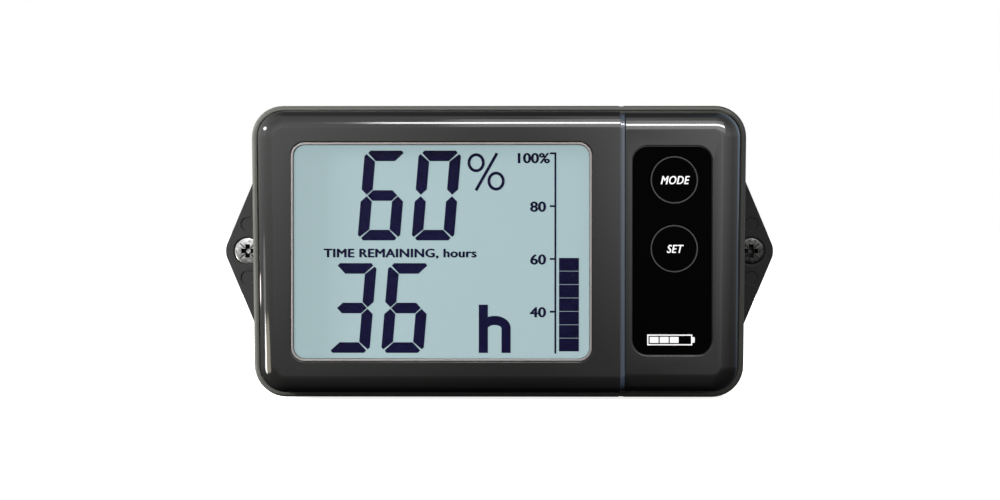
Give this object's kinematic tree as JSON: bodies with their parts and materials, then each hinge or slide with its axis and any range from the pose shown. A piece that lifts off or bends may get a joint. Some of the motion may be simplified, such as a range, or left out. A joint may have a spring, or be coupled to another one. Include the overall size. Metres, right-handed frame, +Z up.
{
  "type": "battery monitor display head",
  "caption": "Wall-mounted battery monitor display: gloss housing in two front mouldings with a large segment display, a black key panel and a wall plate with pointed ears.",
  "frame": {"origin": "middle of the wall plate, on its back face, which is the plane of the wall", "axes": "+X to the viewer's right, +Z up, +Y into the wall; the display faces -Y"},
  "size_m": [0.141, 0.0382, 0.074],
  "materials": {
    "housing": "gloss moulded plastic, dark warm grey",
    "rear_plastic": "satin moulded plastic, dark grey",
    "plate_plastic": "fine spark-eroded texture, near black",
    "rubber": "matt black",
    "clear_window": "clear polished acrylic",
    "trim_silver": "silver-grey painted ring",
    "tape": "thin black acrylic foam",
    "film": "pale blue-grey polarising film",
    "lcd_glass": "clear thin glass",
    "white_plastic": "white, satin",
    "board": "green solder mask",
    "chip": "black moulding compound",
    "key_gloss": "polished black",
    "bright_steel": "bright zinc plate",
    "tin": "tinned metal"
  },
  "bodies": {
    "housing": {"backlight_diffuser": "white_plastic", "backlight_led_1": "white_plastic", "backlight_led_2": "white_plastic", "backlight_led_3": "white_plastic", "backlight_led_4": "white_plastic", "board_screw_1": "bright_steel", "board_screw_2": "bright_steel", "board_screw_3": "bright_steel", "board_screw_4": "bright_steel", "buffer_capacitor": "bright_steel", "circuit_board": "board", "cover_screw_1": "bright_steel", "cover_screw_2": "bright_steel", "cover_screw_3": "bright_steel", "cover_screw_4": "bright_steel", "cover_screw_5": "bright_steel", "cover_screw_6": "bright_steel", "display_bezel": "housing", "display_window": "clear_window", "housing_seal": "rubber", "key_end_cap": "housing", "key_panel": "key_gloss", "key_panel_adhesive": "tape", "lcd_front_glass": "lcd_glass", "lcd_front_polariser": "film", "lcd_holder": "white_plastic", "lcd_rear_glass": "lcd_glass", "lcd_rear_polariser": "film", "lead_socket": "chip", "lower_switch_body": "chip", "lower_switch_dome": "tin", "microcontroller": "chip", "quartz_crystal": "bright_steel", "rear_housing": "rear_plastic", "shunt_amplifier": "chip", "socket_pin_1": "tin", "socket_pin_2": "tin", "socket_pin_3": "tin", "socket_pin_4": "tin", "upper_switch_body": "chip", "upper_switch_dome": "tin", "voltage_regulator": "chip", "wall_plate": "plate_plastic", "wall_screw_left": "bright_steel", "wall_screw_right": "bright_steel", "window_tape": "tape", "window_trim": "trim_silver", "zebra_strip": "rubber"},
    "upper_key": {"upper_key_cap": "key_gloss", "upper_switch_stem": "white_plastic"},
    "lower_key": {"lower_key_cap": "key_gloss", "lower_switch_stem": "white_plastic"}
  },
  "joints": [
    {"name": "upper_key_press", "type": "slide", "parent": "housing", "child": "upper_key", "axis": [0, 1, 0], "range_m": [0, 0.0005], "stiffness_N_per_m": 400, "springref_m": -0.001},
    {"name": "lower_key_press", "type": "slide", "parent": "housing", "child": "lower_key", "axis": [0, 1, 0], "range_m": [0, 0.0005], "stiffness_N_per_m": 400, "springref_m": -0.001}
  ]
}
